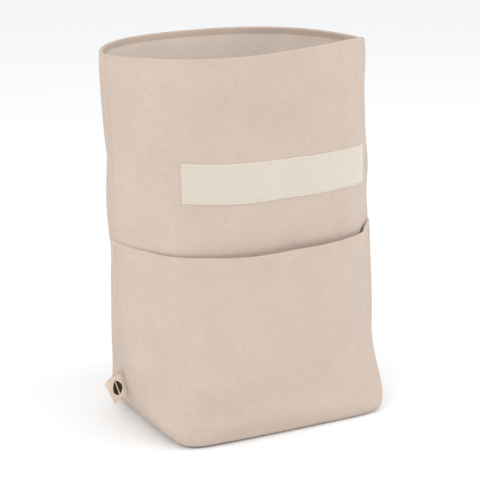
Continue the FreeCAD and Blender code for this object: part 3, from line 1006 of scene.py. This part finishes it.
sew_tape(-1, ("loop_tape", "loop_tape_stitches"), ("front_loop_tape", "front_tape_stitching"),
         loop_pile)
sew_tape(1, ("hook_tape", "hook_tape_stitches"), ("back_hook_tape", "back_tape_stitching"),
         hook_nylon)

# %% [markdown]
# ## Side label
# A short woven tape is folded in half and both ends are caught in the side seam.  The front layer
# bulges away from the seam before it runs flat, so the root is in shade.  It hangs a little, because
# only the seam holds it.  The outline is a path that goes out, round the fold and back.

# %% Side label
LABEL_HALF = 11 * MM
LABEL_REACH = 20 * MM
LABEL_THICK = 0.35 * MM
LABEL_BULGE = 3.0 * MM
LABEL_ROOT_IN = 2.2 * MM
LABEL_RAISE = 3.0 * MM
LABEL_SAG = 0.17
LABEL_FORWARD = 0.22
LABEL_FOLD = 0.55 * MM
label_up = np.array(frame["joints"][0]["axis"])
label_out = np.array([-label_up[2], 0.0, label_up[0]])
label_face = np.array([0.0, -1.0, 0.0])
label_root = (np.array(frame["joints"][0]["pos_m"]) + label_up * LABEL_RAISE
              - label_out * LABEL_ROOT_IN)


def label_point(s, t, lift):
    """A point of the label: s runs along the tape, t from -1 to 1 up it, lift off its surface.

    The first half of s goes out on the front layer, the second half comes back on the rear one.
    The front layer bulges by 1 - exp(-d / 3 mm); both meet in a round fold at the far end.  The
    whole label turns down by an angle that grows with the reach, and swings a little forward.
    """
    straight = LABEL_REACH - LABEL_FOLD
    bend = math.pi * LABEL_FOLD
    d = s * (2 * straight + bend)
    turn = np.clip((d - straight) / LABEL_FOLD, 0, math.pi)
    reach = (np.clip(d, 0, straight) + LABEL_FOLD * np.sin(turn)
             - np.clip(d - straight - bend, 0, straight) + lift * np.sin(turn))
    share = np.clip(reach / LABEL_REACH, 0, 1)
    rise = LABEL_BULGE * (1 - np.exp(-np.maximum(reach, 0) / (3.0 * MM)))
    front = rise + LABEL_FOLD * 0.5
    rear = rise * share ** 0.6 - LABEL_FOLD * 1.5
    face = rear + (front - rear) * (1 + np.cos(turn)) / 2 + lift * np.cos(turn)
    face = face + LABEL_FORWARD * reach * share - 0.8 * MM * (t * share) ** 2
    sag = LABEL_SAG * share
    along = reach * np.cos(sag) + LABEL_HALF * t * np.sin(sag)
    up = LABEL_HALF * t * np.cos(sag) - reach * np.sin(sag)
    return (label_root + label_out * along[..., None] + label_up * up[..., None]
            + label_face * face[..., None])


s, t = np.meshgrid(np.linspace(0, 1, 121), np.linspace(-1, 1, 33))
outer = label_point(s, t, LABEL_THICK / 2)
inner = label_point(s, t, -LABEL_THICK / 2)
uv = np.stack([s * 2 * LABEL_REACH, t * LABEL_HALF], axis=2)
label = closed_sheet("folded_label", outer, inner, uv, 1)
label.data.materials.append(label_tape)
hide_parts("side_label")
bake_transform(label)

# %% [markdown]
# The mark is a plain leaf: two mirrored arcs and a pale midrib, printed on the front layer.  It is a
# thin patch that uses the label's own formula, so it bends with the cloth.

# %% Printed leaf
LEAF_TALL = 0.66
LEAF_WIDE = 0.34
LEAF_PLACE = 0.26


def leaf_half(mirror):
    """One half of a leaf blade: half width 0.36 cos(pi l / 2)^0.7 (1 - l / 4), less the midrib."""
    length, width = np.meshgrid(np.linspace(-1, 1, 33), np.linspace(0, 1, 9))
    blade = 0.36 * np.cos(length * np.pi / 2) ** 0.7 * (1 - 0.25 * length)
    rib = 0.035 * (1 - 0.4 * length)
    across = mirror * (rib + np.maximum(blade - rib, 0.002) * width)
    return across, length * LEAF_TALL


def print_leaf():
    """Both leaf halves on the label's front layer, as one mesh."""
    vertices, quads, maps = [], [], []
    for k, mirror in enumerate((1, -1)):
        across, tall = leaf_half(mirror)
        place = LEAF_PLACE + across * LEAF_WIDE
        found = label_point(place, tall, LABEL_THICK / 2 + 0.04 * MM)
        first = k * found.shape[0] * found.shape[1]
        vertices.append(found.reshape(-1, 3))
        quads.append(quads_of(*found.shape[:2], first, mirror < 0))
        maps.append(np.stack([across, tall], axis=2).reshape(-1, 2) * LABEL_HALF)
    piece = new_piece("label_print", *[np.concatenate(part) for part in (vertices, quads, maps)])
    piece.data.materials.append(ink)
    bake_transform(piece)


print_leaf()

# %% [markdown]
# ## Floor, light and camera
# A white sweep of floor, a bright even sky and large soft lamps on both sides give flat studio
# light.  A low card throws a little light on the foot.  The sides of the bag come out lighter than
# its middle, as they face the lamps.

# %% Floor
FLOOR_HALF = 12.0
floor_quad = FLOOR_HALF * np.array([[-1, -1, 0], [1, -1, 0], [1, 1, 0], [-1, 1, 0]], float)
floor = new_piece("floor", floor_quad, np.array([[0, 1, 2, 3]]))
floor_tree = Tree("pale_floor")
floor.data.materials.append(floor_tree.finish((0.93, 0.94, 0.95, 1), 0.9))

# %% Light
world = bpy.data.worlds.new("studio")
bpy.context.scene.world = world
world.use_nodes = True
world.node_tree.nodes["Background"].inputs[0].default_value = (1, 1, 1, 1)
world.node_tree.nodes["Background"].inputs[1].default_value = 0.566
bpy.context.scene.view_settings.view_transform = "Standard"


def soft_lamp(name, place, target, size, power):
    """A rectangular area lamp that faces a point."""
    data = bpy.data.lights.new(name, "AREA")
    data.shape = "RECTANGLE"
    data.size, data.size_y, data.energy = size[0], size[1], power
    lamp = bpy.data.objects.new(name, data)
    bpy.context.scene.collection.objects.link(lamp)
    lamp.location = place
    aim = np.array(target) - np.array(place)
    flat = math.hypot(aim[0], aim[1])
    lamp.rotation_euler = (math.atan2(flat, -aim[2]), 0, math.atan2(-aim[0], aim[1]))
    lamp.visible_camera = False


def ceiling(name, tilt, power, spread):
    """A very wide sun, tilted a little from straight down."""
    data = bpy.data.lights.new(name, "SUN")
    data.energy, data.angle = power, spread
    lamp = bpy.data.objects.new(name, data)
    bpy.context.scene.collection.objects.link(lamp)
    lamp.rotation_euler = tilt


soft_lamp("left_softbox", (-1.9, -0.5, 1.1), (0, 0, 0.15), (1.2, 1.2), 14.2)
soft_lamp("right_softbox", (1.7, -1.0, 1.0), (0, 0, 0.15), (1.2, 1.2), 15.9)
soft_lamp("front_softbox", (-0.7, -1.3, 1.9), (0, 0, 0.15), (1.2, 1.2), 3.0)
soft_lamp("bounce_card", (-0.12, -0.46, 0.02), (0, -0.05, 0.06), (0.8, 0.12), 0.25)
ceiling("ceiling_light", (0.12, -0.1, 0), 1.27, math.radians(110))

# %% Camera
YAW, PITCH = math.radians(28.1), math.radians(14.4)
camera_data = bpy.data.cameras.new("camera")
camera_data.lens = 112.05
camera_data.sensor_width = 36
camera_data.clip_end = 50
camera = bpy.data.objects.new("camera", camera_data)
bpy.context.scene.collection.objects.link(camera)
camera.location = (-0.624, -1.154, 0.494)
camera.rotation_euler = (math.pi / 2 - PITCH, 0, -YAW)
bpy.context.scene.camera = camera

# %% Update the scene
bpy.context.view_layer.update()
